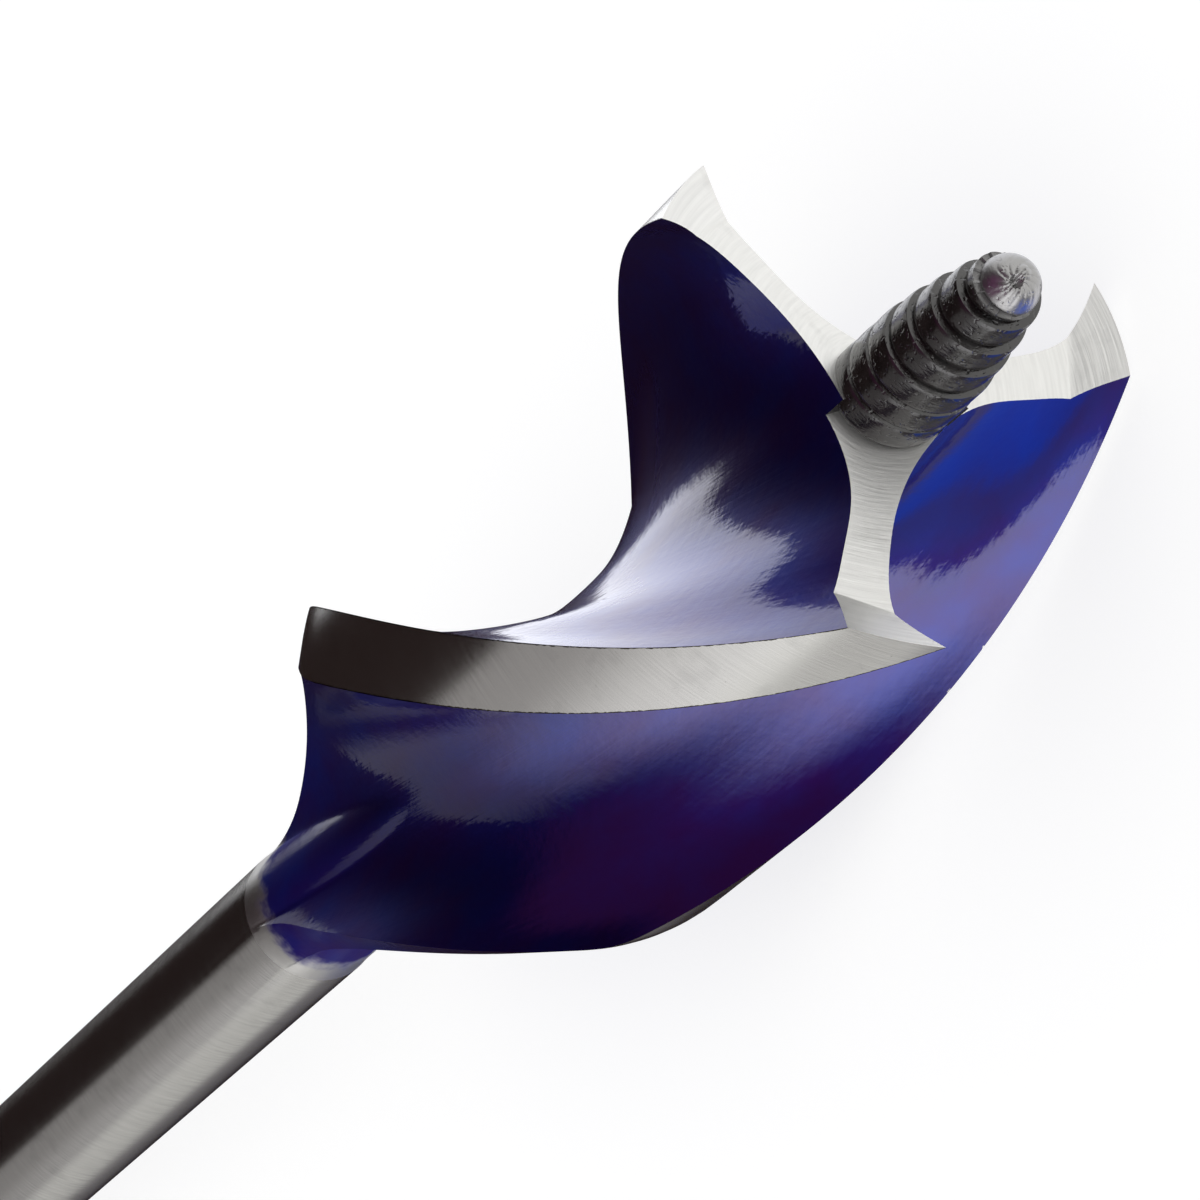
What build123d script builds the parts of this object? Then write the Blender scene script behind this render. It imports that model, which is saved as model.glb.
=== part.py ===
from build123d import *
from math import atan, cos, degrees, radians, sin, tan
import os

# Three-winged auger bit for wood: a fluted head with ground cutting wings, a lead screw
# that pulls it in, and a round shank that ends in a quick-change hexagon.
# It is forged and ground from one bar of steel, so it is one solid.
# It is built upright, with its axis on Z, its tip up and the spurs at Z = 0,
# and is laid on its side at the end, the way it comes to rest on a bench.

# Cutting head
cutter_d = 25.4             # diameter of the hole it cuts, 1 in
wing_count = 3
flute_lead = 139.0          # axial length of one full turn of the flutes
land_length = 34.9          # from the spurs to the start of the rear taper
shoulder_r = 8.0            # rounding between the lands and the rear taper
rear_taper = 20.0           # slope of the rear of the wings to the axis, degrees
neck_blend_r = 16.0         # hollow blend from the rear taper to the shank
runout_length = 17.0        # where the flute floor climbs to the shank

# Section across the wings, angles in degrees from the leading corner of a wing
land_angle = 18.5           # width of the ground land on the rim
core_r = 2.75               # solid core between the flutes
web_rise = 0.3              # flute floor above the core at its two sides
core_lead = 26.0            # where the leading flank meets the core
core_trail = 75.3           # where the trailing flank of the next wing meets the core
root_r = 5.3                # radius where the flute floor turns up into the flanks
root_lead = 0.2
root_trail = 100.2
arm_r = 8.1                 # radius of the thinnest part of the wing
arm_set_back = 4.6          # leading flank behind the corner there
arm_t = 1.70                # thickness of the wing there
hook_depth = 1.55           # radial depth of the hooked lip behind the rim
hook_set_back = 3.5         # leading flank behind the corner there
hook_angle = 13.1           # width of the wing there
lip_angle = 2.3             # further sweep of the lip to the stock outside the rim
heel_angle = 1.15           # the same for the trailing flank

# Ground ends of the wings, heights below the spurs
mid_wing = -13.0            # direction of the middle of a wing
face_drop = 1.62            # end face at the axis
face_relief = 17.2          # fall of the end face to its trailing side, degrees
spur_drop = 1.05            # spur facet at the radius of its own mark
spur_mark_r = 11.4
spur_rise = 32.0            # climb of the spur facet to the rim, degrees
spur_relief = 9.6           # fall of the spur facet to its trailing side, degrees

# Lead screw
screw_length = 10.2         # from the spurs to its tip
screw_root_r = 2.42         # root radius where it leaves the head
screw_end_r = 1.12          # root radius at the ball tip
screw_ball_r = 1.5          # rounded tip
screw_sink = 2.4            # start of the thread below the spurs, inside the head
thread_pitch = 1.6
thread_depth = 0.3
thread_gap = 0.08           # width of the crease between two turns
thread_sink = 0.12          # depth of the ridge below the root surface
turn_steps = 6              # points that place one turn of the thread

# Shank
overall_length = 152.4      # lead screw tip to shank end, 6 in
shank_d = 7.6
hex_sides = 6
hex_flats = 6.35            # 1/4 in quick-change drive
hex_length = 28.0
shank_chamfer = 0.6         # at the end of the round part
groove_back = 9.5           # middle of the detent groove from the shank end
groove_waist_d = 5.0
groove_floor = 2.0          # width of its floor
groove_flank = 40.0         # lean of its flanks from square to the axis, degrees
end_chamfer = 0.7

# Allowances of the construction
above = 5.0                 # height of the stock and of the cutting shapes above the spurs
stock = 1.0                 # how far a cutting shape stands outside the finished surface
lap = 1.0                   # length that one form is built into the next
edge_steps = 200            # points tried along the edge of a land that may touch the bench
attitude_step = 0.001       # accuracy of the attitude at rest, degrees

head_r = cutter_d / 2
shank_r = shank_d / 2
stock_r = head_r + stock
wing_step = 360 / wing_count
twist = 360 / flute_lead
shank_end = screw_length - overall_length


def polar(radius, angle):
    return (radius * cos(radians(angle)), radius * sin(radians(angle)))


# Outside of the head, turned: lands, rounded shoulder, rear taper and hollow neck
neck_z = -land_length - (head_r - shank_r) / tan(radians(rear_taper))
neck_start = neck_z - neck_blend_r * tan(radians(rear_taper / 2))
neck_end = neck_start - lap

with BuildPart() as turned:
    with BuildSketch(Plane.XZ) as outside:
        with BuildLine():
            Polyline(
                (0, 2 * above),
                (head_r, 2 * above),
                (head_r, -land_length),
                (shank_r, neck_z),
                (shank_r, neck_end),
                (0, neck_end),
                close=True,
            )
        make_face()
        fillet(outside.vertices().sort_by(Axis.Y)[2], neck_blend_r)
        fillet(outside.vertices().sort_by(Axis.Y)[-3], shoulder_r)
    revolve(axis=Axis.Z)

# Space above the ground end of one wing, whose middle lies along X: it is bounded below
# by the end face and by the spur facet that climbs to the rim
with BuildPart() as end_cut:
    with BuildSketch(Plane.XY.offset(-above)):
        with BuildLine():
            Polyline(
                (0, 0),
                polar(2 * cutter_d, -wing_step / 2),
                polar(2 * cutter_d, wing_step / 2),
                close=True,
            )
        make_face()
    extrude(amount=3 * above)
    face_normal = (0, -tan(radians(face_relief)), 1)
    split(bisect_by=Plane((0, 0, -face_drop), z_dir=face_normal), keep=Keep.TOP)
    spur_normal = (-tan(radians(spur_rise)), -tan(radians(spur_relief)), 1)
    split(bisect_by=Plane((spur_mark_r, 0, -spur_drop), z_dir=spur_normal), keep=Keep.TOP)

# Head: the section is swept up the axis while it turns, then trimmed to its outside
# and ground at the ends of the wings
arm_angle = degrees(arm_t / arm_r)
hook_r = head_r - hook_depth
web_r = core_r + web_rise
flute_outline = [
    (stock_r, lip_angle),
    (head_r, 0),
    (hook_r, -hook_set_back),
    (arm_r, -arm_set_back),
    (root_r, root_lead),
    (web_r, core_lead),
    (core_r, (core_lead + core_trail) / 2),
    (web_r, core_trail),
    (root_r, root_trail),
    (arm_r, wing_step - arm_set_back - arm_angle),
    (hook_r, wing_step - hook_set_back - hook_angle),
    (head_r, wing_step - land_angle),
    (stock_r, wing_step - land_angle - heel_angle),
]

with BuildPart() as head:
    with BuildLine() as spine:
        Line((0, 0, neck_end), (0, 0, above))
    with BuildSketch(Plane.XY.offset(neck_end).rotated((0, 0, twist * neck_end))):
        with BuildLine():
            for wing in range(wing_count):
                turn = wing_step * wing
                flute = Spline(*[polar(radius, angle + turn) for radius, angle in flute_outline])
                RadiusArc(flute @ 1, polar(stock_r, turn + wing_step + lip_angle), -stock_r)
        make_face()
    guide = Helix(flute_lead, above - neck_end, head_r, (0, 0, neck_end))
    sweep(path=spine.line, binormal=guide)
    add(turned.part, mode=Mode.INTERSECT)
    with PolarLocations(0, wing_count, start_angle=mid_wing):
        add(end_cut.part, mode=Mode.SUBTRACT)

# Attitude at rest: the bench touches the leading edge of one land, the rear corner of the
# next land and a flat of the hexagon at the shank end. The direction that points down,
# seen along the axis, is the one from which both lands give the same slope.
foot_r = hex_flats / 2
foot_z = shank_end + end_chamfer + foot_r - shank_r
rear_corner = wing_step - land_angle - twist * land_length


def slope_on_edge(down):
    depths = [land_length * step / edge_steps for step in range(edge_steps + 1)]
    return max(
        (head_r * cos(radians(down + twist * depth)) - foot_r) / (-foot_z - depth)
        for depth in depths
    )


def slope_on_corner(down):
    return (head_r * cos(radians(rear_corner - down)) - foot_r) / (-foot_z - land_length)


low, down = rear_corner - 90, rear_corner
while down - low > attitude_step:
    middle = (low + down) / 2
    if slope_on_corner(middle) > slope_on_edge(middle):
        down = middle
    else:
        low = middle
rest_tilt = degrees(atan(slope_on_edge(down)))

# Drive end: hexagon with a turned end and a detent groove
groove_z = shank_end + groove_back
waist_r = groove_waist_d / 2
mouth = groove_floor / 2 + (shank_r + stock - waist_r) * tan(radians(groove_flank))

with BuildPart() as drive:
    with BuildSketch(Plane.XY.offset(shank_end)):
        RegularPolygon(foot_r, hex_sides, major_radius=False, rotation=down + 180 / hex_sides)
    extrude(amount=hex_length + shank_chamfer)
    with BuildSketch(Plane.XZ):
        with BuildLine():
            Polyline(
                (0, shank_end),
                (shank_r - end_chamfer, shank_end),
                (shank_r, shank_end + end_chamfer),
                (shank_r, shank_end + hex_length + above),
                (0, shank_end + hex_length + above),
                close=True,
            )
        make_face()
    revolve(axis=Axis.Z, mode=Mode.INTERSECT)
    with BuildSketch(Plane.XZ):
        with BuildLine():
            Polyline(
                (shank_r + stock, groove_z - mouth),
                (waist_r, groove_z - groove_floor / 2),
                (waist_r, groove_z + groove_floor / 2),
                (shank_r + stock, groove_z + mouth),
                close=True,
            )
        make_face()
    revolve(axis=Axis.Z, mode=Mode.SUBTRACT)

# Thread of the lead screw: a rounded ridge that climbs a root whose radius falls from
# the head to the ball tip along a parabola
ball_z = screw_length - screw_ball_r
screw_start = -screw_sink - lap
half_ridge = (thread_pitch - thread_gap) / 2


def root_radius(height):
    return screw_root_r - (screw_root_r - screw_end_r) * (max(height, 0) / ball_z) ** 2


climb_points = []
for step in range(round((ball_z + screw_sink) / thread_pitch * turn_steps) + 1):
    height = step * thread_pitch / turn_steps - screw_sink
    climb_points.append((*polar(root_radius(height), step * 360 / turn_steps), height))

with BuildPart() as thread:
    climb = Spline(*climb_points)
    with BuildSketch(Plane(climb @ 0, x_dir=(1, 0, 0), z_dir=climb % 0)):
        with BuildLine():
            crest = ThreePointArc((0, -half_ridge), (thread_depth, 0), (0, half_ridge))
            Polyline(
                crest @ 1,
                (-thread_sink, half_ridge),
                (-thread_sink, -half_ridge),
                crest @ 0,
            )
        make_face()
    sweep(path=climb, is_frenet=True)

# The whole bit, upright
with BuildPart() as upright:
    add(head.part)
    runout_z = neck_start + runout_length
    with BuildSketch(Plane.XZ):
        with BuildLine():
            Polyline(
                (0, shank_end + hex_length),
                (shank_r - shank_chamfer, shank_end + hex_length),
                (shank_r, shank_end + hex_length + shank_chamfer),
                (shank_r, neck_start),
                (core_r, runout_z),
                (0, runout_z),
                close=True,
            )
        make_face()
    revolve(axis=Axis.Z)
    with BuildSketch(Plane.XZ):
        with BuildLine():
            Polyline((0, screw_start), (screw_root_r, screw_start), (screw_root_r, 0))
            Bezier((screw_root_r, 0), (screw_root_r, ball_z / 2), (screw_end_r, ball_z))
            Polyline((screw_end_r, ball_z), (0, ball_z), (0, screw_start))
        make_face()
    revolve(axis=Axis.Z)
    with Locations((0, 0, ball_z)):
        Sphere(screw_ball_r)
    add(drive.part)
    add(thread.part)

# Laid on its side: the flat of the hexagon comes down to Z = 0 with the edges of the two
# lands, the tip points along X and rises by the tilt, and the length is centred
rise, run = sin(radians(rest_tilt)), cos(radians(rest_tilt))
tip_x = ball_z * run + screw_ball_r
tail_x = shank_end * run - (shank_r - end_chamfer) * rise
axis_height = foot_r * run - foot_z * rise

with BuildPart() as auger_bit:
    with Locations((-(tip_x + tail_x) / 2, 0, axis_height)):
        add(upright.part, rotation=(0, 90 - rest_tilt, -down))
auger_bit.part.label = "auger_bit"

os.makedirs("parts", exist_ok=True)
export_step(auger_bit.part, "parts/auger_bit.step")
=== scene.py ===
import bpy
from bisect import bisect
from math import radians, degrees, atan2, cos, sin, tan, hypot, sqrt, pi
from mathutils import Matrix, Vector


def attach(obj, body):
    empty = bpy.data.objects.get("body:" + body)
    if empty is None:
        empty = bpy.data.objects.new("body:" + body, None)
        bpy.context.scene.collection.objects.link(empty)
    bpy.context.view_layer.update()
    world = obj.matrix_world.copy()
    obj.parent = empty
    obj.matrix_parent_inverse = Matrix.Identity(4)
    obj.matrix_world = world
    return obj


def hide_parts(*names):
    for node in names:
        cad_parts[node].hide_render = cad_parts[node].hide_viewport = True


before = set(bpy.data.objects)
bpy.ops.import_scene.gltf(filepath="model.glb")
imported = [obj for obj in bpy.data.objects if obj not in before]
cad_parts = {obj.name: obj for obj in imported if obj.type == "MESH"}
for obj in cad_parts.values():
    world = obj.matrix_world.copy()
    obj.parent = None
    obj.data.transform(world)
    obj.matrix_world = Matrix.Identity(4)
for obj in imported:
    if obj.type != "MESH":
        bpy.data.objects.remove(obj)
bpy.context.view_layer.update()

# How the bit lies. Its own space is in millimetres, with Z along the axis towards the lead
# screw and Z = 0 at the spurs; finishes and face choices are laid out in that space.
bit = {
    "spursAt": (0.06594, 0.0, 0.013321),
    "tilt": 4.0974,            # how far the tip is up from the bench, degrees
    "turn": -20.149,           # first wing corner, from the direction that points down
    "lead": 139.0,             # axial length of one turn of the flutes
    "wings": 3,
    "rimRadius": 12.7,
    "landAngle": 18.5,         # width of a land, degrees
}
wingStep = 360 / bit["wings"]
twist = 360 / bit["lead"]
weld = 0.001                   # points nearer than this are merged
noiseRoughness = 0.55
spursAt = Vector(bit["spursAt"])
axisDir = Vector((cos(radians(bit["tilt"])), 0, sin(radians(bit["tilt"]))))
downDir = Vector((sin(radians(bit["tilt"])), 0, -cos(radians(bit["tilt"]))))


# radius, angle in degrees and height in bit space
def bitPlace(point):
    offset = (Vector(point) - spursAt) * 1000
    across, side, height = offset.dot(downDir), offset.y, offset.dot(axisDir)
    return hypot(across, side), degrees(atan2(side, across)) + bit["turn"], height


def deselectAll():
    if bpy.context.object and bpy.context.object.mode != "OBJECT":
        bpy.ops.object.mode_set(mode="OBJECT")
    bpy.ops.object.select_all(action="DESELECT")


def activePiece(piece):
    deselectAll()
    piece.select_set(True)
    bpy.context.view_layer.objects.active = piece


# Materials
def newMaterial(name):
    material = bpy.data.materials.new(name)
    material.use_nodes = True
    nodes = material.node_tree.nodes
    return material, nodes, material.node_tree.links, nodes["Principled BSDF"]


def calculate(nodes, links, operation, *values):
    step = nodes.new("ShaderNodeMath")
    step.operation = operation
    for socket, value in zip(step.inputs, values):
        if isinstance(value, (int, float)):
            socket.default_value = value
        else:
            links.new(value, socket)
    return step.outputs[0]


def bitCoordinates(nodes, links):
    place = nodes.new("ShaderNodeTexCoord")
    mapping = nodes.new("ShaderNodeMapping")
    mapping.vector_type = "TEXTURE"
    mapping.inputs["Location"].default_value = bit["spursAt"]
    mapping.inputs["Rotation"].default_value = (0, radians(90 - bit["tilt"]), 0)
    mapping.inputs["Scale"].default_value = (0.001, 0.001, 0.001)
    links.new(place.outputs["Object"], mapping.inputs["Vector"])
    return mapping.outputs["Vector"]


# radius in mm, angle in degrees without the twist of the flutes, and height in mm
def flutePlace(nodes, links, space):
    parts = nodes.new("ShaderNodeSeparateXYZ")
    links.new(space, parts.inputs[0])
    squares = [calculate(nodes, links, "POWER", parts.outputs[axis], 2) for axis in "XY"]
    radius = calculate(nodes, links, "SQRT", calculate(nodes, links, "ADD", *squares))
    angle = calculate(nodes, links, "ARCTAN2", parts.outputs["Y"], parts.outputs["X"])
    angle = calculate(nodes, links, "MULTIPLY_ADD", angle, degrees(1), bit["turn"])
    turned = calculate(nodes, links, "MULTIPLY", parts.outputs["Z"], twist)
    return radius, calculate(nodes, links, "SUBTRACT", angle, turned), parts.outputs["Z"]


def together(nodes, links, *values):
    vector = nodes.new("ShaderNodeCombineXYZ")
    for socket, value in zip(vector.inputs, values):
        links.new(value, socket)
    return vector.outputs[0]


# mm from the nearest long edge of a land
def landEdge(nodes, links, angle):
    reaches = []
    for corner in (0, wingStep - bit["landAngle"]):
        fromCorner = calculate(nodes, links, "SUBTRACT", angle, corner)
        reaches.append(calculate(nodes, links, "PINGPONG", fromCorner, wingStep / 2))
    nearest = calculate(nodes, links, "MINIMUM", *reaches)
    return calculate(nodes, links, "MULTIPLY", nearest, bit["rimRadius"] * radians(1))


def noise(nodes, links, vector, scale, detail=3.0, stretch=(1, 1, 1)):
    stretched = nodes.new("ShaderNodeMapping")
    stretched.inputs["Scale"].default_value = stretch
    links.new(vector, stretched.inputs["Vector"])
    texture = nodes.new("ShaderNodeTexNoise")
    texture.inputs["Scale"].default_value = scale
    texture.inputs["Detail"].default_value = detail
    texture.inputs["Roughness"].default_value = noiseRoughness
    links.new(stretched.outputs["Vector"], texture.inputs["Vector"])
    return texture.outputs["Fac"]


# runs from the first of reached to the second as the value crosses its limits
def ramp(nodes, links, value, limits, reached=(0.0, 1.0), smooth=False):
    spread = nodes.new("ShaderNodeMapRange")
    spread.interpolation_type = "SMOOTHSTEP" if smooth else "LINEAR"
    spread.inputs["From Min"].default_value = limits[0]
    spread.inputs["From Max"].default_value = limits[1]
    spread.inputs["To Min"].default_value = reached[0]
    spread.inputs["To Max"].default_value = reached[1]
    links.new(value, spread.inputs["Value"])
    return spread.outputs["Result"]


def mixColour(nodes, links, share, colourA, colourB):
    mixer = nodes.new("ShaderNodeMix")
    mixer.data_type = "RGBA"
    links.new(share, mixer.inputs["Factor"])
    for socket, colour in ((mixer.inputs["A"], colourA), (mixer.inputs["B"], colourB)):
        if isinstance(colour, tuple):
            socket.default_value = (*colour, 1)
        else:
            links.new(colour, socket)
    return mixer.outputs["Result"]


def bump(nodes, links, heights, distance, shader, strength):
    raised = nodes.new("ShaderNodeBump")
    raised.inputs["Distance"].default_value = distance
    raised.inputs["Strength"].default_value = strength
    links.new(heights, raised.inputs["Height"])
    links.new(raised.outputs["Normal"], shader.inputs["Normal"])
    return raised


lacquer = {
    "blue": (0.013, 0.019, 0.225),
    "deepBlue": (0.028, 0.008, 0.15),
    "cloudScale": 0.3,
    "cloudStretch": (1, 1, 0.5),
    "cloudLimits": (0.35, 0.65),
    "roughness": 0.44,
    "coatRoughness": 0.05,
    "coatIor": 1.62,
    "chipScale": 2.2,
    "chipLimits": (1.06, 1.12),
    "chipWidth": 0.16,         # how far chips reach in from the edge of a land
    "chipPull": 0.45,          # how much likelier a chip is there
    "chipRadii": (12.3, 12.6),  # and how far out from the axis they begin
    "fadeFrom": -61.2,         # soft end of the lacquer on the shank
    "fadeTo": -59.6,
    "fadeWaver": 2.4,          # how far that end wanders along the shank
    "fadeScale": 0.8,
    "thinLimits": (-58, -46),  # heights between which it thins out down the neck
    "thinnest": 0.2,
    "dullRoughness": 0.74,     # where it is thinnest
    "bareShine": 0.5,          # share of that roughness on the bare steel
    "streakStretch": (3.5, 0.5, 0.12),
    "streakShare": 0.4,
    "peelScale": 1.6,
    "reliefDepth": 0.00002,
    "reliefStrength": 0.7,
}
steel = {
    "end": (0.88, 0.875, 0.855),
    "land": (0.80, 0.79, 0.765),
    "shank": (0.60, 0.59, 0.57),
    "burr": (0.06, 0.05, 0.045),
    "scale": (0.014, 0.010, 0.010),
    "soot": (0.004, 0.003, 0.003),
    "tip": (0.36, 0.355, 0.355),
}


def lacquerMaterial():
    material, nodes, links, shader = newMaterial("blueLacquer")
    space = bitCoordinates(nodes, links)
    radius, angle, height = flutePlace(nodes, links, space)
    clouds = noise(nodes, links, space, lacquer["cloudScale"], stretch=lacquer["cloudStretch"])
    cloudy = ramp(nodes, links, clouds, lacquer["cloudLimits"])
    colour = mixColour(nodes, links, cloudy, lacquer["blue"], lacquer["deepBlue"])
    # bright chips along the lands and a ragged end on the shank
    chips = noise(nodes, links, space, lacquer["chipScale"], detail=4)
    nearEdge = landEdge(nodes, links, angle)
    edge = ramp(nodes, links, nearEdge, (0.0, lacquer["chipWidth"]), (lacquer["chipPull"], 0.0))
    edge = calculate(nodes, links, "MULTIPLY", edge, ramp(nodes, links, radius, lacquer["chipRadii"]))
    chipped = calculate(nodes, links, "ADD", chips, edge)
    chipped = ramp(nodes, links, chipped, lacquer["chipLimits"])
    ragged = noise(nodes, links, space, lacquer["fadeScale"])
    ragged = calculate(nodes, links, "MULTIPLY_ADD", ragged, lacquer["fadeWaver"], height)
    waver = lacquer["fadeWaver"] / 2
    fadeLimits = (lacquer["fadeFrom"] + waver, lacquer["fadeTo"] + waver)
    bare = ramp(nodes, links, ragged, fadeLimits, (1.0, 0.0), smooth=True)
    worn = calculate(nodes, links, "MAXIMUM", chipped, bare)
    links.new(mixColour(nodes, links, worn, colour, steel["shank"]), shader.inputs["Base Color"])
    shader.inputs["Metallic"].default_value = 1.0
    # the lacquer thins out and dulls down the neck
    thinning = (lacquer["thinnest"], 1.0)
    thickness = ramp(nodes, links, height, lacquer["thinLimits"], thinning, smooth=True)
    dulled = ramp(nodes, links, thickness, thinning, (lacquer["dullRoughness"], lacquer["roughness"]))
    shine = ramp(nodes, links, worn, (0, 1), (1.0, lacquer["bareShine"]))
    links.new(calculate(nodes, links, "MULTIPLY", dulled, shine), shader.inputs["Roughness"])
    cover = calculate(nodes, links, "SUBTRACT", 1.0, worn)
    links.new(calculate(nodes, links, "MULTIPLY", cover, thickness), shader.inputs["Coat Weight"])
    shader.inputs["Coat Roughness"].default_value = lacquer["coatRoughness"]
    shader.inputs["Coat IOR"].default_value = lacquer["coatIor"]
    # grinding streaks along the flutes, under and in the lacquer
    alongFlute = together(nodes, links, radius, angle, height)
    streaks = noise(nodes, links, alongFlute, 1.0, detail=4, stretch=lacquer["streakStretch"])
    peel = noise(nodes, links, space, lacquer["peelScale"], detail=2)
    relief = calculate(nodes, links, "MULTIPLY_ADD", streaks, lacquer["streakShare"], peel)
    raised = bump(nodes, links, relief, lacquer["reliefDepth"], shader, lacquer["reliefStrength"])
    links.new(raised.outputs["Normal"], shader.inputs["Coat Normal"])
    return material


ground = {
    "lineLimits": (0.3, 0.7),
    "stainScale": 0.5,
    "stainLimits": (0.56, 0.72),
    "stainShare": 0.22,
    "stainShade": 0.5,
    "burrWidths": (0.03, 0.12),  # from the edge of a land, where the dark burr fades
    "burrPull": 0.5,
    "burrScale": 3.0,
    "burrLimits": (0.72, 0.86),
    "roughnessStep": 0.03,     # between the ridges and the grooves of the lines
    "reliefDepth": 0.00002,
}


def shaded(colour, share):
    return tuple(part * share for part in colour)


# the lines are fine along the parts of radius, angle and height with a large stretch
def groundMaterial(name, colour, roughness, stretch, shades=0.9, relief=0.3, metallic=1.0, burr=False):
    material, nodes, links, shader = newMaterial(name)
    space = bitCoordinates(nodes, links)
    radius, angle, height = flutePlace(nodes, links, space)
    alongFlute = together(nodes, links, radius, angle, height)
    lines = noise(nodes, links, alongFlute, 1.0, detail=4, stretch=stretch)
    lines = ramp(nodes, links, lines, ground["lineLimits"])
    shade = mixColour(nodes, links, lines, colour, shaded(colour, shades))
    stains = noise(nodes, links, space, ground["stainScale"], detail=5)
    stains = ramp(nodes, links, stains, ground["stainLimits"])
    stains = calculate(nodes, links, "MULTIPLY", stains, ground["stainShare"])
    shade = mixColour(nodes, links, stains, shade, shaded(colour, ground["stainShade"]))
    if burr:
        nearEdge = landEdge(nodes, links, angle)
        edge = ramp(nodes, links, nearEdge, ground["burrWidths"], (ground["burrPull"], 0.0))
        rough = noise(nodes, links, space, ground["burrScale"], detail=3)
        rough = ramp(nodes, links, calculate(nodes, links, "ADD", edge, rough), ground["burrLimits"])
        shade = mixColour(nodes, links, rough, shade, steel["burr"])
    links.new(shade, shader.inputs["Base Color"])
    shader.inputs["Metallic"].default_value = metallic
    step = ground["roughnessStep"]
    shine = ramp(nodes, links, lines, (0, 1), (roughness - step, roughness + step))
    links.new(shine, shader.inputs["Roughness"])
    bump(nodes, links, lines, ground["reliefDepth"], shader, relief)
    return material


screwFinish = {
    "wornLimits": (8.5, 8.8),  # heights between which the scale gives way to the bare tip
    "sootScale": 1.2,
    "sootLimits": (0.4, 0.7),
    "ior": 1.75,
    "roughness": (0.18, 0.40),  # of the scale and of the bare tip
    "dentScale": 4.0,
    "dentLimits": (0.60, 0.72),
    "dentDepth": 0.8,
    "rippleScale": 2.2,
    "rippleStretch": (1, 1, 2.5),
    "reliefDepth": 0.00003,
    "reliefStrength": 0.8,
}


# dark scale on the lobes, worn to dull steel on the button at the tip
def screwMaterial():
    material, nodes, links, shader = newMaterial("screwSteel")
    space = bitCoordinates(nodes, links)
    tall = nodes.new("ShaderNodeSeparateXYZ")
    links.new(space, tall.inputs[0])
    worn = ramp(nodes, links, tall.outputs["Z"], screwFinish["wornLimits"])
    soot = noise(nodes, links, space, screwFinish["sootScale"], detail=4)
    soot = ramp(nodes, links, soot, screwFinish["sootLimits"])
    scale = mixColour(nodes, links, soot, steel["scale"], steel["soot"])
    links.new(mixColour(nodes, links, worn, scale, steel["tip"]), shader.inputs["Base Color"])
    links.new(worn, shader.inputs["Metallic"])
    shader.inputs["IOR"].default_value = screwFinish["ior"]
    links.new(ramp(nodes, links, worn, (0, 1), screwFinish["roughness"]), shader.inputs["Roughness"])
    dents = noise(nodes, links, space, screwFinish["dentScale"], detail=1)
    dents = ramp(nodes, links, dents, screwFinish["dentLimits"])
    ripples = noise(nodes, links, space, screwFinish["rippleScale"], detail=4,
                    stretch=screwFinish["rippleStretch"])
    relief = calculate(nodes, links, "MULTIPLY_ADD", dents, -screwFinish["dentDepth"], ripples)
    bump(nodes, links, relief, screwFinish["reliefDepth"], shader, screwFinish["reliefStrength"])
    return material


materials = [
    lacquerMaterial(),
    groundMaterial("groundEnd", steel["end"], roughness=0.4, stretch=(7, 0.05, 0.6), metallic=0.75),
    groundMaterial("groundLand", steel["land"], roughness=0.2, stretch=(1, 0.08, 9), shades=0.93,
                   relief=0.08, burr=True),
    screwMaterial(),
    groundMaterial("shankSteel", steel["shank"], roughness=0.22, stretch=(1, 0.03, 6), shades=0.92,
                   relief=0.12),
]
lacquered, groundEnd, groundLand, screwSteel, shankSteel = range(len(materials))
print("materials made")

# Fluted head and shank, modelled upright in millimetres from the spurs and laid down at the end
head = {
    "shoulderAt": -34.9,       # where the lands meet the rear taper
    "shoulderRadius": 8.0,     # roundings in the outline, before and behind the taper
    "neckRadius": 16.0,
    "rearTaper": 20.0,         # degrees
    "coreRadius": 2.75,
    "runOut": 17.0,            # length over which the flute floor climbs to the shank
    "topAt": 1.6,              # stock above the ground ends
    "rows": 94,
    "floorSteps": 64,          # faces across one flute
    "landSteps": 12,           # faces across one land
}
# one flute from the leading corner of a wing to the back of the next: radius, degrees
fluteLine = [
    (13.7, 2.3), (12.7, 0.0), (11.15, -3.5), (8.1, -4.6), (5.3, 0.2), (3.05, 26.0), (2.75, 50.65),
    (3.05, 75.3), (5.3, 100.2), (8.1, 103.375), (11.15, 103.4), (12.7, 101.5), (13.7, 100.35),
]
shank = {
    "radius": 3.8,
    "hexFlats": 6.35,
    "hexStart": -113.6,
    "end": -142.2,
    "stepChamfer": 0.6,
    "endChamfer": 0.7,
    "plainRows": (-96, -80, -70),  # heights of rows along the round stretch
    "roundSteps": 96,
    "overlap": 1.0,            # how far the hexagon and the groove's cutter reach past the round
    "turningSpare": 5.0,       # how far the turned form that trims the hexagon stands above it
    "grooveAt": -132.7,
    "grooveRadius": 2.5,
    "grooveFloor": 2.0,
    "grooveLean": 40.0,
}
taper = radians(head["rearTaper"])
neckStart = (head["shoulderAt"] - (bit["rimRadius"] - shank["radius"]) / tan(taper)
             - head["neckRadius"] * tan(taper / 2))
shoulderEnd = (head["shoulderAt"] + head["shoulderRadius"] * tan(taper / 2)
               - head["shoulderRadius"] * sin(taper))


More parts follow.
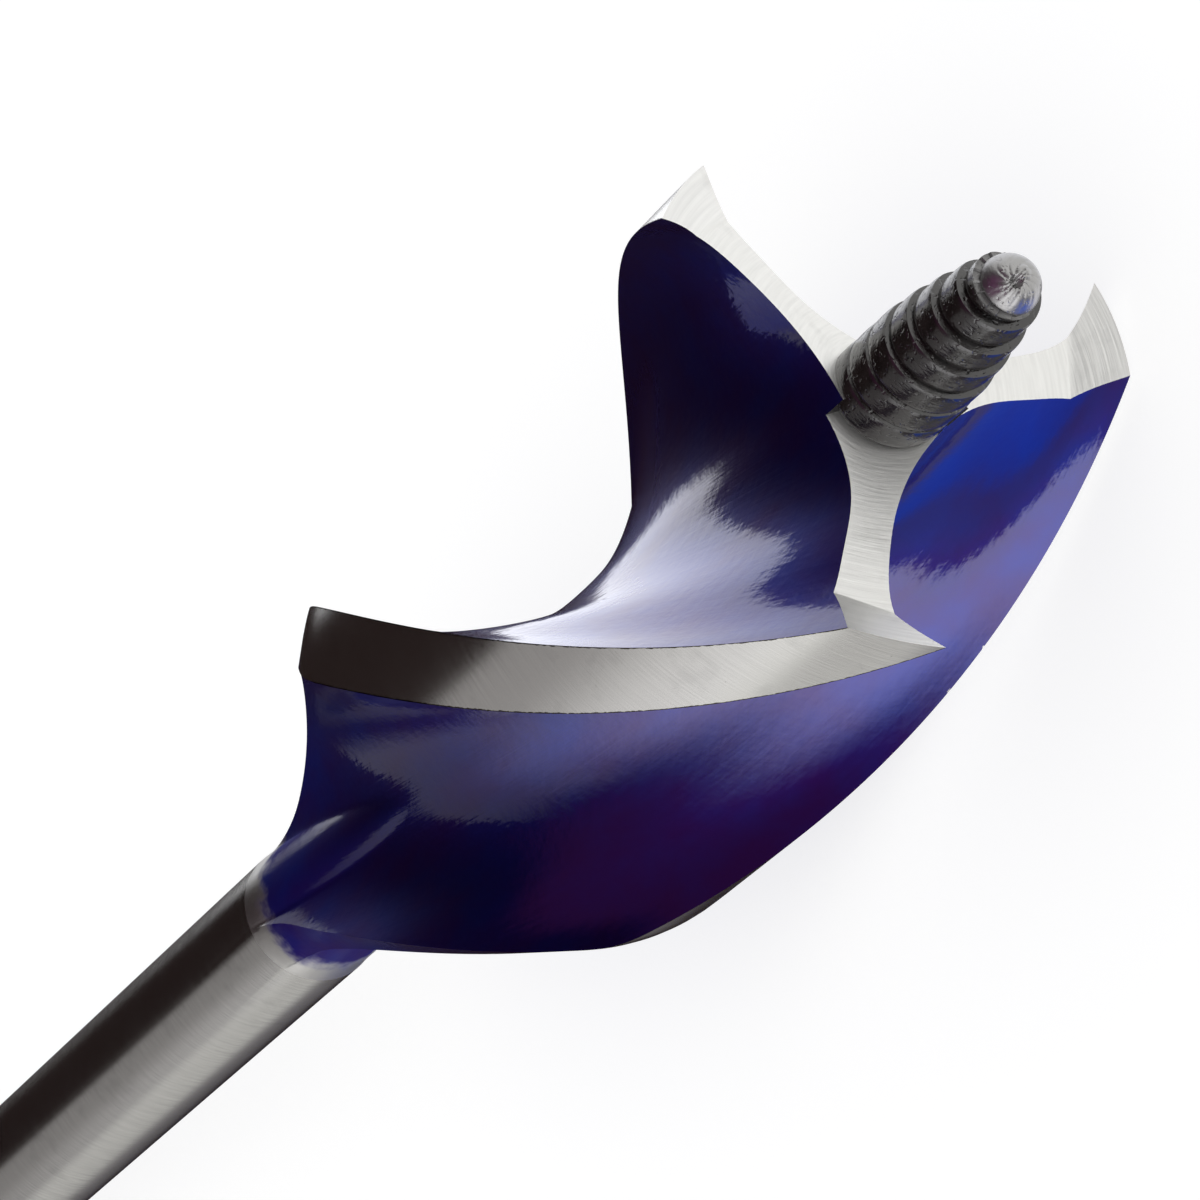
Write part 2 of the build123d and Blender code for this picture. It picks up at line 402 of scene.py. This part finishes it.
# outside of the head and shank at a height, as turned
def turnedRadius(height):
    fromNeck = height - neckStart
    fromLand = head["shoulderAt"] + head["shoulderRadius"] * tan(taper / 2) - height
    if fromNeck <= 0:
        return shank["radius"]
    if fromNeck < head["neckRadius"] * sin(taper):
        return shank["radius"] + head["neckRadius"] - sqrt(head["neckRadius"] ** 2 - fromNeck ** 2)
    if fromLand <= 0:
        return bit["rimRadius"]
    if fromLand < head["shoulderRadius"] * sin(taper):
        return bit["rimRadius"] - head["shoulderRadius"] + sqrt(head["shoulderRadius"] ** 2 - fromLand ** 2)
    return bit["rimRadius"] + (height - head["shoulderAt"]) * tan(taper)


def floorRadius(height):
    climb = (neckStart + head["runOut"] - height) / head["runOut"]
    return head["coreRadius"] + (shank["radius"] - head["coreRadius"]) * min(max(climb, 0), 1)


# smooth curve through points, as a function of the way along them
def smoothCurve(points):
    ways = [0.0]
    for first, second in zip(points, points[1:]):
        ways.append(ways[-1] + (second - first).length)
    last = len(points) - 1
    bends = [Vector((0, 0))] * (last + 1)
    shares, loads = [0.0] * last, [Vector((0, 0))] * last
    for here in range(1, last):
        before, after = ways[here] - ways[here - 1], ways[here + 1] - ways[here]
        slopeBefore = (points[here] - points[here - 1]) / before
        jump = 6 * ((points[here + 1] - points[here]) / after - slopeBefore)
        weight = 2 * (before + after) - before * shares[here - 1]
        shares[here] = after / weight
        loads[here] = (jump - before * loads[here - 1]) / weight
    for here in range(last - 1, 0, -1):
        bends[here] = loads[here] - shares[here] * bends[here + 1]

    def at(way):
        here = min(max(bisect(ways, way) - 1, 0), last - 1)
        span = ways[here + 1] - ways[here]
        toNext, passed = (ways[here + 1] - way) / span, (way - ways[here]) / span
        bend = (toNext ** 3 - toNext) * bends[here] + (passed ** 3 - passed) * bends[here + 1]
        return toNext * points[here] + passed * points[here + 1] + bend * span ** 2 / 6
    return at, ways[-1]


flutePoints = [
    Vector((radius * cos(radians(angle)), radius * sin(radians(angle)))) for radius, angle in fluteLine
]
fluteAt, fluteWay = smoothCurve(flutePoints)
halvings = 40


# how far along the flute's curve it reaches a radius, found by halving
def wayAtRadius(radius, inner, outer):
    for halving in range(halvings):
        middle = (inner + outer) / 2
        if fluteAt(middle).length < radius:
            inner = middle
        else:
            outer = middle
    return inner


# one turn of the section at a height: radius and angle of each point
def sectionPoints(height):
    outside, inside = turnedRadius(height), floorRadius(height)
    start = wayAtRadius(outside, fluteWay / 2, 0)
    finish = wayAtRadius(outside, fluteWay / 2, fluteWay)
    points = []
    for step in range(head["floorSteps"]):
        point = fluteAt(start + (finish - start) * step / head["floorSteps"])
        points.append((min(max(point.length, inside), outside), degrees(atan2(point.y, point.x))))
    rear = fluteAt(finish)
    rearAngle = degrees(atan2(rear.y, rear.x))
    frontAngle = points[0][1] + wingStep
    for step in range(head["landSteps"]):
        share = step / head["landSteps"]
        points.append((outside, rearAngle + (frontAngle - rearAngle) * share))
    return points


pointsPerWing = head["floorSteps"] + head["landSteps"]
around = bit["wings"] * pointsPerWing
heights = [shank["hexStart"] - shank["stepChamfer"], shank["hexStart"], *shank["plainRows"]]
for row in range(head["rows"] + 1):
    heights.append(neckStart + (head["topAt"] - neckStart) * row / head["rows"])

# a tube of plain rows 1 apart, which are then set to the section at each height
deselectAll()
bpy.ops.mesh.primitive_cylinder_add(
    vertices=around, radius=0.01, depth=len(heights) - 1, end_fill_type="NGON",
    location=(0, 0, (len(heights) - 1) / 2),
)
body = bpy.context.object
body.name = "bitBody"
bpy.ops.object.transform_apply(location=True, rotation=True, scale=True)
bpy.ops.object.mode_set(mode="EDIT")
bpy.ops.mesh.select_mode(type="EDGE")
bpy.ops.mesh.select_all(action="DESELECT")
bpy.ops.object.mode_set(mode="OBJECT")
for edge in body.data.edges:
    low, high = (body.data.vertices[corner].co.z for corner in edge.vertices)
    edge.select = abs(high - low) > 0.5
bpy.ops.object.mode_set(mode="EDIT")
bpy.ops.mesh.subdivide(number_cuts=len(heights) - 2)
bpy.ops.object.mode_set(mode="OBJECT")
sections = [sectionPoints(height) for height in heights]
for vertex in body.data.vertices:
    row = round(vertex.co.z)
    place = round(atan2(vertex.co.y, vertex.co.x) / (2 * pi) * around) % around
    height = heights[row]
    radius, angle = sections[row][place % pointsPerWing]
    if row == 0:
        radius -= shank["stepChamfer"]
    angle += place // pointsPerWing * wingStep + twist * max(height, neckStart)
    vertex.co = (radius * cos(radians(angle)), radius * sin(radians(angle)), height)
print("head and shank swept", len(body.data.polygons), "faces")


def applyBoolean(piece, tool, operation):
    activePiece(piece)
    bpy.ops.object.modifier_add(type="BOOLEAN")
    cut = piece.modifiers[-1]
    cut.operation = operation
    cut.solver = "EXACT"
    cut.object = tool
    bpy.ops.object.modifier_apply(modifier=cut.name)
    bpy.data.objects.remove(tool)


# a closed part that reaches into the piece becomes part of its mesh
def joinPart(piece, part):
    activePiece(piece)
    part.select_set(True)
    bpy.ops.object.join()


# Ground ends: over each wing, the space above its end face and spur facet is cut away
ends = {
    "middleOfWing": -13.0,     # degrees, as are the rise and the reliefs
    "faceDrop": 1.62,
    "faceRelief": 17.2,
    "spurDrop": 1.05,
    "spurMark": 11.4,          # how far out the spur's drop is measured
    "spurRise": 32.0,
    "spurRelief": 9.6,
    "cutterReach": 50,
    "cutterFrom": -5,
    "cutterHeight": 15,
}
for wing in range(bit["wings"]):
    deselectAll()
    bpy.ops.mesh.primitive_circle_add(vertices=3, radius=1, fill_type="NGON")
    cutter = bpy.context.object
    for corner, side in zip(cutter.data.vertices, (0, -1, 1)):
        reach = ends["cutterReach"] * abs(side)
        angle = radians(wingStep / 2)
        corner.co = (reach * cos(angle), reach * side * sin(angle), ends["cutterFrom"])
    bpy.ops.object.mode_set(mode="EDIT")
    bpy.ops.mesh.select_all(action="SELECT")
    bpy.ops.mesh.extrude_region_move(TRANSFORM_OT_translate={"value": (0, 0, ends["cutterHeight"])})
    for place, slope in (
        ((0, 0, -ends["faceDrop"]), (0, -tan(radians(ends["faceRelief"])), 1)),
        ((ends["spurMark"], 0, -ends["spurDrop"]),
         (-tan(radians(ends["spurRise"])), -tan(radians(ends["spurRelief"])), 1)),
    ):
        bpy.ops.mesh.select_all(action="SELECT")
        bpy.ops.mesh.bisect(plane_co=place, plane_no=slope, use_fill=True, clear_inner=True)
    bpy.ops.mesh.select_all(action="SELECT")
    bpy.ops.mesh.normals_make_consistent(inside=False)
    bpy.ops.object.mode_set(mode="OBJECT")
    cutter.rotation_euler.z = radians(ends["middleOfWing"] + wing * wingStep)
    applyBoolean(body, cutter, "DIFFERENCE")
print("ends ground", len(body.data.polygons), "faces")

# Lead screw: one lobe of the thread runs up in turns, then follows the tapered root
screw = {
    "startAt": -2.4,
    "pitch": 1.6,
    "turns": 10,
    "lobeSteps": 16,
    "turnSteps": 128,
    "lobeDepth": 0.17,
    "lobeFlatness": 5,
    "windRadius": 5,           # where the lobe is wound, before it follows the root
    "seam": 0.999,             # share of a lobe past which it counts as the next one
    # height and radius of the crests
    "crests": [(-3.0, 2.70), (2.5, 2.66), (4.2, 2.45), (6.0, 2.16), (7.4, 1.88), (8.7, 1.62), (9.4, 1.46)],
    "tipAt": 10.05,
    "domeRadius": 1.40,
    "domeFullness": 0.75,
    "domeStep": 0.13,          # groove round the dome's foot, and the share of the climb it takes
    "domeStepEnd": 0.1,
    "folds": 13,
    "foldDepth": 0.09,
    "foldTwist": 0.7,
    "foldWaver": 0.8,
    "foldReach": 1.5,
    "foldStart": 6,
    "pitPlace": (-0.57, -0.19),  # beside the middle of the tip, where the folds run together
    "pitRadius": 0.30,
    "pitDepth": 0.40,
    "nubRadius": 0.36,
    "nubHeight": 0.12,
    "tipWeld": 0.002,
}


def between(table, value):
    for (low, lowValue), (high, highValue) in zip(table, table[1:]):
        if value <= high:
            return lowValue + (highValue - lowValue) * (value - low) / (high - low)
    return table[-1][1]


# a lobe is flat along the axis and rounds down to a crease on both sides
def lobeBulge(share):
    return sqrt(max(1 - abs(2 * share - 1) ** screw["lobeFlatness"], 0))


deselectAll()
bpy.ops.mesh.primitive_circle_add(vertices=screw["lobeSteps"] + 1, radius=1)
thread = bpy.context.object
thread.name = "leadScrew"
lobe = thread.data
for index, corner in enumerate(lobe.vertices):
    share = index / screw["lobeSteps"]
    corner.co = (screw["windRadius"] + lobeBulge(share), 0, screw["startAt"] + screw["pitch"] * share)
bpy.ops.object.mode_set(mode="EDIT")
bpy.ops.mesh.select_all(action="DESELECT")
bpy.ops.object.mode_set(mode="OBJECT")
for edge in lobe.edges:
    edge.select = abs(edge.vertices[0] - edge.vertices[1]) > 1
bpy.ops.object.mode_set(mode="EDIT")
bpy.ops.mesh.select_mode(type="EDGE")
bpy.ops.mesh.delete(type="EDGE")
bpy.ops.object.mode_set(mode="OBJECT")
bpy.ops.object.modifier_add(type="SCREW")
wind = thread.modifiers[-1]
wind.steps = wind.render_steps = screw["turnSteps"]
wind.screw_offset = screw["pitch"]
wind.iterations = screw["turns"]
wind.use_smooth_shade = True
bpy.ops.object.modifier_apply(modifier=wind.name)
bpy.ops.object.mode_set(mode="EDIT")
bpy.ops.mesh.select_all(action="SELECT")
bpy.ops.mesh.remove_doubles(threshold=weld)
bpy.ops.object.mode_set(mode="OBJECT")
domeBase = screw["tipAt"] - screw["domeRadius"]
domeLength = screw["pitch"] * screw["turns"] + screw["startAt"] - domeBase
pitX, pitY = screw["pitPlace"]
for vertex in thread.data.vertices:
    angle = atan2(vertex.co.y, vertex.co.x)
    height = vertex.co.z
    bulge = hypot(vertex.co.x, vertex.co.y) - screw["windRadius"]
    share = ((height - screw["startAt"]) / screw["pitch"] - angle / (2 * pi)) % 1
    if share > screw["seam"]:
        share = 0
    if height < domeBase:
        radius = between(screw["crests"], height + (0.5 - share) * screw["pitch"])
        radius -= screw["lobeDepth"] * (1 - bulge)
        place = height
    else:
        climb = min((height - domeBase) / domeLength, 1)
        foot = screw["domeStep"] * max(1 - climb / screw["domeStepEnd"], 0) ** 2
        radius = screw["domeRadius"] * cos(climb * pi / 2) ** screw["domeFullness"] * (1 - foot)
        place = domeBase + screw["domeRadius"] * sin(climb * pi / 2)
        fromPit = radius * cos(angle) - pitX, radius * sin(angle) - pitY
        reach, bearing = hypot(*fromPit), atan2(fromPit[1], fromPit[0])
        swirl = bearing + screw["foldTwist"] * reach
        fold = abs(sin(screw["folds"] / 2 * swirl + screw["foldWaver"] * sin(2 * bearing)))
        depth = screw["foldDepth"] * (1 - fold) ** 2 * max(1 - reach / screw["foldReach"], 0)
        place -= depth * min(screw["foldStart"] * climb, 1)
        place -= screw["pitDepth"] * max(1 - (reach / screw["pitRadius"]) ** 2, 0)
        place += screw["nubHeight"] * max(1 - (radius / screw["nubRadius"]) ** 2, 0)
    vertex.co = (radius * cos(angle), radius * sin(angle), place)
activePiece(thread)
bpy.ops.object.mode_set(mode="EDIT")
bpy.ops.mesh.select_all(action="SELECT")
bpy.ops.mesh.remove_doubles(threshold=screw["tipWeld"])
bpy.ops.mesh.select_all(action="DESELECT")
bpy.ops.mesh.select_mode(type="EDGE")
bpy.ops.mesh.select_non_manifold()
bpy.ops.mesh.edge_face_add()
bpy.ops.mesh.select_all(action="SELECT")
bpy.ops.mesh.normals_make_consistent(inside=False)
bpy.ops.object.mode_set(mode="OBJECT")
print("screw wound", len(thread.data.polygons), "faces")
joinPart(body, thread)

# Hexagon with its turned end and detent groove
hexTop = shank["hexStart"] + shank["overlap"]
deselectAll()
bpy.ops.mesh.primitive_cylinder_add(
    vertices=6, radius=shank["hexFlats"] / 2 / cos(radians(30)), depth=hexTop - shank["end"],
    location=(0, 0, (hexTop + shank["end"]) / 2), rotation=(0, 0, radians(bit["turn"])),
)
hexagon = bpy.context.object
bpy.ops.object.transform_apply(location=True, rotation=True, scale=True)
turningTop = hexTop + shank["turningSpare"]
deselectAll()
bpy.ops.mesh.primitive_cylinder_add(
    vertices=shank["roundSteps"], radius=shank["radius"], depth=turningTop - shank["end"],
    location=(0, 0, (turningTop + shank["end"]) / 2),
)
turning = bpy.context.object
bpy.ops.object.transform_apply(location=True, rotation=True, scale=True)
bpy.ops.object.mode_set(mode="EDIT")
bpy.ops.mesh.select_all(action="DESELECT")
bpy.ops.object.mode_set(mode="OBJECT")
for edge in turning.data.edges:
    rises = [turning.data.vertices[corner].co.z - shank["end"] for corner in edge.vertices]
    edge.select = max(rises) < shank["endChamfer"]
bpy.ops.object.mode_set(mode="EDIT")
bpy.ops.mesh.bevel(offset=shank["endChamfer"], offset_type="OFFSET", segments=1)
bpy.ops.object.mode_set(mode="OBJECT")
applyBoolean(hexagon, turning, "INTERSECT")
# the groove's cutter is a closed ring, spun from its four corners
lip = shank["radius"] + shank["overlap"]
floorHalf = shank["grooveFloor"] / 2
lipHalf = floorHalf + (lip - shank["grooveRadius"]) * tan(radians(shank["grooveLean"]))
deselectAll()
bpy.ops.mesh.primitive_circle_add(vertices=4, radius=1)
groove = bpy.context.object
for corner, (across, along) in zip(groove.data.vertices, (
    (lip, -lipHalf), (shank["grooveRadius"], -floorHalf), (shank["grooveRadius"], floorHalf), (lip, lipHalf),
)):
    corner.co = (across, 0, shank["grooveAt"] + along)
bpy.ops.object.mode_set(mode="EDIT")
bpy.ops.mesh.select_all(action="SELECT")
bpy.ops.mesh.spin(steps=shank["roundSteps"], angle=2 * pi, center=(0, 0, 0), axis=(0, 0, 1))
bpy.ops.mesh.select_all(action="SELECT")
bpy.ops.mesh.remove_doubles(threshold=weld)
bpy.ops.mesh.normals_make_consistent(inside=False)
bpy.ops.object.mode_set(mode="OBJECT")
applyBoolean(hexagon, groove, "DIFFERENCE")
joinPart(body, hexagon)
print("screw and hexagon joined", len(body.data.polygons), "faces")

# Laid down the way it rests, each face with the material of its place
dressing = {
    "screwAlone": 0.5,         # above this height all is screw
    "endLimit": -8,            # ground ends are above this height
    "endFacing": 0.75,         # and face this much along the axis
    "landWithin": 0.03,        # how near to the turned outside the lands lie
    "lacquerEnd": -62.0,       # past the lacquer's soft end
    "sharpAngle": 35,
}
activePiece(body)
body.matrix_world = (
    Matrix.Translation(spursAt) @ Matrix.Rotation(radians(90 - bit["tilt"]), 4, "Y")
    @ Matrix.Rotation(radians(-bit["turn"]), 4, "Z") @ Matrix.Scale(0.001, 4)
)
bpy.ops.object.transform_apply(location=True, rotation=True, scale=True)
for material in materials:
    body.data.materials.append(material)
for face in body.data.polygons:
    radius, angle, height = bitPlace(face.center)
    onScrew = radius < head["coreRadius"] and height > screw["startAt"]
    if onScrew or height > dressing["screwAlone"]:
        face.material_index = screwSteel
    elif height > dressing["endLimit"] and face.normal.dot(axisDir) > dressing["endFacing"]:
        face.material_index = groundEnd
    elif height > shoulderEnd and abs(radius - turnedRadius(height)) < dressing["landWithin"]:
        face.material_index = groundLand
    elif height < dressing["lacquerEnd"]:
        face.material_index = shankSteel
    else:
        face.material_index = lacquered
bpy.ops.object.shade_smooth_by_angle(angle=radians(dressing["sharpAngle"]))
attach(body, "root")
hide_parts("auger_bit")
print("bit dressed")

# Bench, studio and camera
stage = {
    "benchSize": 3.0,
    "benchColour": (0.4, 0.4, 0.4),
    "benchRoughness": 0.9,
    "benchLift": 0.72,         # white that the camera sees on top of the lit colour
    "roomLight": 0.8,
    "darkRoom": (0.009, 0.0025, 0.002),
    "backdrop": (1.0, 1.0, 1.0),
}
# What shines back from metal and lacquer: soft patches around the bit, each over the one before.
# Azimuth goes from the tip's direction towards +Y; it and elevation are in degrees, as the
# start and end of a patch's rise and of its fall.
studio = {
    "ceiling": {
        "azimuth": (-182, -181, 181, 182), "elevation": (52, 66, 91, 92),
        "colour": (0.17, 0.03, 0.13),
    },
    "backGrey": {
        "azimuth": (-190, -182, -150, -140), "elevation": (2, 14, 45, 60),
        "colour": (0.3, 0.29, 0.29),
    },
    "bigBox": {
        "azimuth": (-165, -110, -60, -20), "elevation": (-4, 2, 25, 68),
        "colour": (2.1, 2.1, 2.12),
    },
    "frontWhite": {
        "azimuth": (-62, -40, 95, 112), "elevation": (-91, -90, 22, 40),
        "colour": (1.15, 1.15, 1.13),
    },
    "sideWhite": {
        "azimuth": (70, 92, 142, 145), "elevation": (-91, -90, 5, 10),
        "colour": (1.5, 1.52, 1.58),
    },
    "leftBench": {
        "azimuth": (-190, -150, -60, -45), "elevation": (-91, -90, -6, 0),
        "colour": (0.22, 0.21, 0.22),
    },
    "blueSide": {
        "azimuth": (-134, -124, -95, -80), "elevation": (-60, -50, -27, -18),
        "colour": (0.09, 0.25, 1.3),
    },
    "whiteBelow": {
        "azimuth": (-190, -150, -40, -20), "elevation": (-91, -90, -62, -52),
        "colour": (1.7, 1.7, 1.74),
    },
    "shankWhite": {
        "azimuth": (-160, -152, -144, -134), "elevation": (-32, -20, 0, 8),
        "colour": (0.7, 0.7, 0.68),
    },
}


# 1 for rays of the kinds named, 0 for others
def ofKinds(nodes, links, kinds):
    path = nodes.new("ShaderNodeLightPath")
    found = path.outputs[kinds[0]]
    for kind in kinds[1:]:
        found = calculate(nodes, links, "MAXIMUM", found, path.outputs[kind])
    return found


def softBand(nodes, links, value, edges):
    rise = ramp(nodes, links, value, edges[:2], smooth=True)
    fall = ramp(nodes, links, value, edges[2:], (1.0, 0.0), smooth=True)
    return calculate(nodes, links, "MULTIPLY", rise, fall)


deselectAll()
bpy.ops.mesh.primitive_plane_add(size=stage["benchSize"], location=(0, 0, 0))
bench = bpy.context.object
bench.name = "bench"
benchPaint, nodes, links, shader = newMaterial("benchPaint")
shader.inputs["Base Color"].default_value = (*stage["benchColour"], 1)
shader.inputs["Roughness"].default_value = stage["benchRoughness"]
shader.inputs["Specular IOR Level"].default_value = 0.0
shader.inputs["Emission Color"].default_value = (1, 1, 1, 1)
lit = ofKinds(nodes, links, ("Is Camera Ray", "Is Glossy Ray", "Is Transmission Ray"))
links.new(calculate(nodes, links, "MULTIPLY", lit, stage["benchLift"]), shader.inputs["Emission Strength"])
bench.data.materials.append(benchPaint)
bench.visible_glossy = False

world = bpy.data.worlds.new("studio")
bpy.context.scene.world = world
world.use_nodes = True
nodes, links = world.node_tree.nodes, world.node_tree.links
towards = nodes.new("ShaderNodeTexCoord")
parts = nodes.new("ShaderNodeSeparateXYZ")
links.new(towards.outputs["Generated"], parts.inputs[0])
azimuth = calculate(nodes, links, "ARCTAN2", parts.outputs["Y"], parts.outputs["X"])
azimuth = calculate(nodes, links, "MULTIPLY", azimuth, degrees(1))
elevation = calculate(nodes, links, "ARCSINE", parts.outputs["Z"])
elevation = calculate(nodes, links, "MULTIPLY", elevation, degrees(1))
shine = stage["darkRoom"]
for patch in studio.values():
    wide = softBand(nodes, links, azimuth, patch["azimuth"])
    high = softBand(nodes, links, elevation, patch["elevation"])
    share = calculate(nodes, links, "MULTIPLY", wide, high)
    shine = mixColour(nodes, links, share, shine, patch["colour"])
glossy = ofKinds(nodes, links, ("Is Glossy Ray", "Is Transmission Ray"))
direct = ofKinds(nodes, links, ("Is Camera Ray",))
roomLight = (stage["roomLight"],) * 3
lighting = mixColour(nodes, links, glossy, roomLight, shine)
seen = mixColour(nodes, links, direct, lighting, stage["backdrop"])
links.new(seen, nodes["Background"].inputs["Color"])
nodes["Background"].inputs["Strength"].default_value = 1.0

photoCamera = {
    "place": (0.217941, -0.076707, 0.150131),
    "turn": (-2.7584, 54.6447, -27.1299),
    "lens": 151.66,
    "sensor": 36,
    "clip": (0.01, 10),
}
deselectAll()
bpy.ops.object.camera_add(
    location=photoCamera["place"],
    rotation=[radians(angle) for angle in photoCamera["turn"]],
)
camera = bpy.context.object
camera.name = "photoCamera"
camera.data.lens = photoCamera["lens"]
camera.data.sensor_width = photoCamera["sensor"]
camera.data.clip_start, camera.data.clip_end = photoCamera["clip"]
bpy.context.scene.camera = camera
bpy.context.scene.view_settings.view_transform = "Standard"
print("stage ready")
